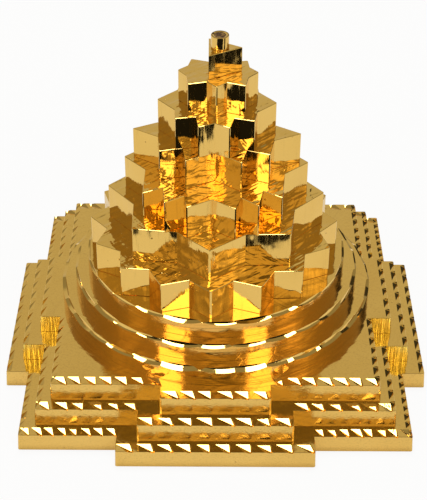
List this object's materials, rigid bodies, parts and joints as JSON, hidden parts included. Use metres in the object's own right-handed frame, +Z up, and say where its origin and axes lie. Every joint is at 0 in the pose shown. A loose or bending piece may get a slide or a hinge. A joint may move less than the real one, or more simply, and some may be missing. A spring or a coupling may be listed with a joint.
{
  "type": "meru shri yantra",
  "caption": "Stepped pyramid of gated square plates, round steps and star shaped tiers in gold plated brass, with a round bindu at the tip.",
  "frame": {"origin": "on the underside of the lower plate, below the centre of its outline", "axes": "+Z up through the bindu, +X to the side that the top triangle points to, -Y to the front of the picture"},
  "size_m": [0.089, 0.089, 0.073],
  "materials": {
    "gold_plate": "polished gold plate, mirror bright, with bright cut edges",
    "plain_brass": "turned, satin",
    "steel": "ground"
  },
  "bodies": {
    "root": {"base_plate_lower": "gold_plate", "base_plate_middle": "gold_plate", "base_plate_upper": "gold_plate", "round_step_lower": "gold_plate", "round_step_middle": "gold_plate", "round_step_upper": "gold_plate", "sixteen_petal_tier": "gold_plate", "eight_petal_tier": "gold_plate", "fourteen_point_tier": "gold_plate", "outer_ten_point_tier": "gold_plate", "inner_ten_point_tier": "gold_plate", "eight_point_tier": "gold_plate", "triangle_block": "gold_plate", "bindu_tie_bolt": "gold_plate", "tie_washer": "plain_brass", "tie_nut": "plain_brass", "base_screw_1": "plain_brass", "base_screw_2": "plain_brass", "base_screw_3": "plain_brass", "base_screw_4": "plain_brass", "base_dowel_1": "steel", "base_dowel_2": "steel", "step_pin_1": "steel", "step_pin_2": "steel", "tower_pin_1": "steel", "tower_pin_2": "steel"}
  },
  "joints": []
}
